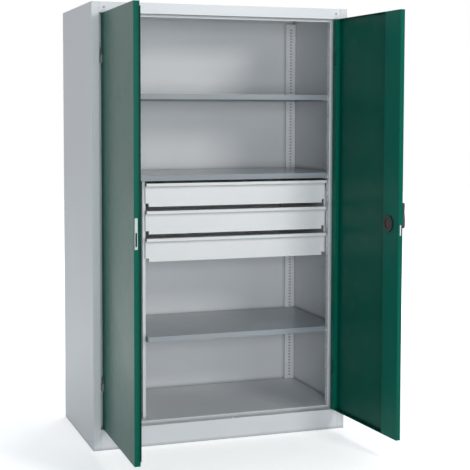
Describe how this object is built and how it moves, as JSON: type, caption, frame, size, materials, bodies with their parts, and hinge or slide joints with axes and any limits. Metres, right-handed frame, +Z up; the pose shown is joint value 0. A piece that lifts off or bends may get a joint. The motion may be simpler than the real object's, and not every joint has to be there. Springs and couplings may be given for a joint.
{
  "type": "storage cabinet",
  "caption": "Tall sheet-steel storage cabinet with hinged double doors, slotted-rail shelves and full-extension drawers, locked by a turning handle with rods.",
  "frame": {"origin": "on the floor, in the middle of the carcass's footprint", "axes": "+Z up, -Y out of the front, +X to the right of someone facing the doors"},
  "size_m": [1.2452, 1.1624, 1.95],
  "materials": {
    "body_paint": "fine textured powder coat, light grey",
    "door_paint": "satin powder coat, dark blue-green",
    "drawer_paint": "satin powder coat, near white",
    "shelf_steel": "satin coat, blue grey",
    "zinc_steel": "bright zinc plate",
    "black_fitting": "matt black",
    "chrome_lock": "polished"
  },
  "bodies": {
    "carcass": {"left_side_panel": "body_paint", "right_side_panel": "body_paint", "back_panel": "body_paint", "top_panel": "body_paint", "top_rail": "body_paint", "floor_panel": "body_paint", "plinth_frame": "body_paint", "front_left_rail": "body_paint", "front_right_rail": "body_paint", "rear_left_rail": "body_paint", "rear_right_rail": "body_paint", "top_shelf": "shelf_steel", "middle_shelf": "shelf_steel", "lower_shelf": "shelf_steel", "shelf_clips": "zinc_steel", "partition": "body_paint", "slide_carrier": "body_paint", "left_frame_knuckles": "body_paint", "left_hinge_pins": "zinc_steel", "right_frame_knuckles": "body_paint", "right_hinge_pins": "zinc_steel", "drawer_1_outer_slides": "zinc_steel", "drawer_2_outer_slides": "zinc_steel", "drawer_3_outer_slides": "zinc_steel"},
    "left_door": {"left_door_panel": "door_paint", "left_door_closing_channel": "door_paint", "left_door_hinge_channel": "door_paint", "left_door_knuckles": "black_fitting", "left_door_cover_strip": "door_paint", "keeper_plate": "zinc_steel"},
    "right_door": {"right_door_panel": "door_paint", "right_door_closing_channel": "door_paint", "right_door_hinge_channel": "door_paint", "right_door_knuckles": "black_fitting", "lock_case": "zinc_steel", "inner_lock_rose": "black_fitting", "handle_rose": "black_fitting", "rod_guides": "black_fitting"},
    "handle": {"handle_lever": "black_fitting", "handle_spindle": "zinc_steel"},
    "key_cylinder": {"lock_cylinder": "chrome_lock"},
    "upper_rod": {"upper_lock_rod": "zinc_steel"},
    "lower_rod": {"lower_lock_rod": "zinc_steel"},
    "bolt": {"latch_bolt": "zinc_steel"},
    "drawer_1": {"drawer_1_front": "drawer_paint", "drawer_1_tray": "drawer_paint", "drawer_1_inner_slides": "zinc_steel"},
    "drawer_1_middle": {"drawer_1_middle_slides": "zinc_steel"},
    "drawer_2": {"drawer_2_front": "drawer_paint", "drawer_2_tray": "drawer_paint", "drawer_2_inner_slides": "zinc_steel"},
    "drawer_2_middle": {"drawer_2_middle_slides": "zinc_steel"},
    "drawer_3": {"drawer_3_front": "drawer_paint", "drawer_3_tray": "drawer_paint", "drawer_3_inner_slides": "zinc_steel"},
    "drawer_3_middle": {"drawer_3_middle_slides": "zinc_steel"}
  },
  "joints": [
    {"name": "left_door_swing", "type": "hinge", "parent": "carcass", "child": "left_door", "pos_m": [-0.555, -0.299, 0], "axis": [0, 0, -1], "range_deg": [-91, 19]},
    {"name": "right_door_swing", "type": "hinge", "parent": "carcass", "child": "right_door", "pos_m": [0.555, -0.299, 0], "axis": [0, 0, 1], "range_deg": [-94, 16]},
    {"name": "handle_turn", "type": "hinge", "parent": "right_door", "child": "handle", "pos_m": [0.61923, -0.77317, 1.008], "axis": [-0.9976, -0.0698, 0], "range_deg": [0, 90]},
    {"name": "key_turn", "type": "hinge", "parent": "handle", "child": "key_cylinder", "pos_m": [0.61923, -0.77317, 1.008], "axis": [-0.9976, -0.0698, 0], "range_deg": [0, 90]},
    {"name": "upper_rod_slide", "type": "slide", "parent": "right_door", "child": "upper_rod", "axis": [0, 0, 1], "range_m": [0, 0.018]},
    {"name": "lower_rod_slide", "type": "slide", "parent": "right_door", "child": "lower_rod", "axis": [0, 0, -1], "range_m": [0, 0.018]},
    {"name": "bolt_slide", "type": "slide", "parent": "right_door", "child": "bolt", "axis": [0.0698, -0.9976, 0], "range_m": [0, 0.012]},
    {"name": "drawer_1_slide", "type": "slide", "parent": "carcass", "child": "drawer_1", "axis": [0, -1, 0], "range_m": [0, 0.52]},
    {"name": "drawer_1_middle_slide", "type": "slide", "parent": "carcass", "child": "drawer_1_middle", "axis": [0, -1, 0], "range_m": [0, 0.26]},
    {"name": "drawer_2_slide", "type": "slide", "parent": "carcass", "child": "drawer_2", "axis": [0, -1, 0], "range_m": [0, 0.52]},
    {"name": "drawer_2_middle_slide", "type": "slide", "parent": "carcass", "child": "drawer_2_middle", "axis": [0, -1, 0], "range_m": [0, 0.26]},
    {"name": "drawer_3_slide", "type": "slide", "parent": "carcass", "child": "drawer_3", "axis": [0, -1, 0], "range_m": [0, 0.52]},
    {"name": "drawer_3_middle_slide", "type": "slide", "parent": "carcass", "child": "drawer_3_middle", "axis": [0, -1, 0], "range_m": [0, 0.26]}
  ],
  "couplings": [
    {"joint": "upper_rod_slide", "follows": "handle_turn", "m_per_rad": 0.011459},
    {"joint": "lower_rod_slide", "follows": "handle_turn", "m_per_rad": 0.011459},
    {"joint": "bolt_slide", "follows": "handle_turn", "m_per_rad": 0.007639},
    {"joint": "drawer_1_middle_slide", "follows": "drawer_1_slide", "ratio": 0.5},
    {"joint": "drawer_2_middle_slide", "follows": "drawer_2_slide", "ratio": 0.5},
    {"joint": "drawer_3_middle_slide", "follows": "drawer_3_slide", "ratio": 0.5}
  ]
}
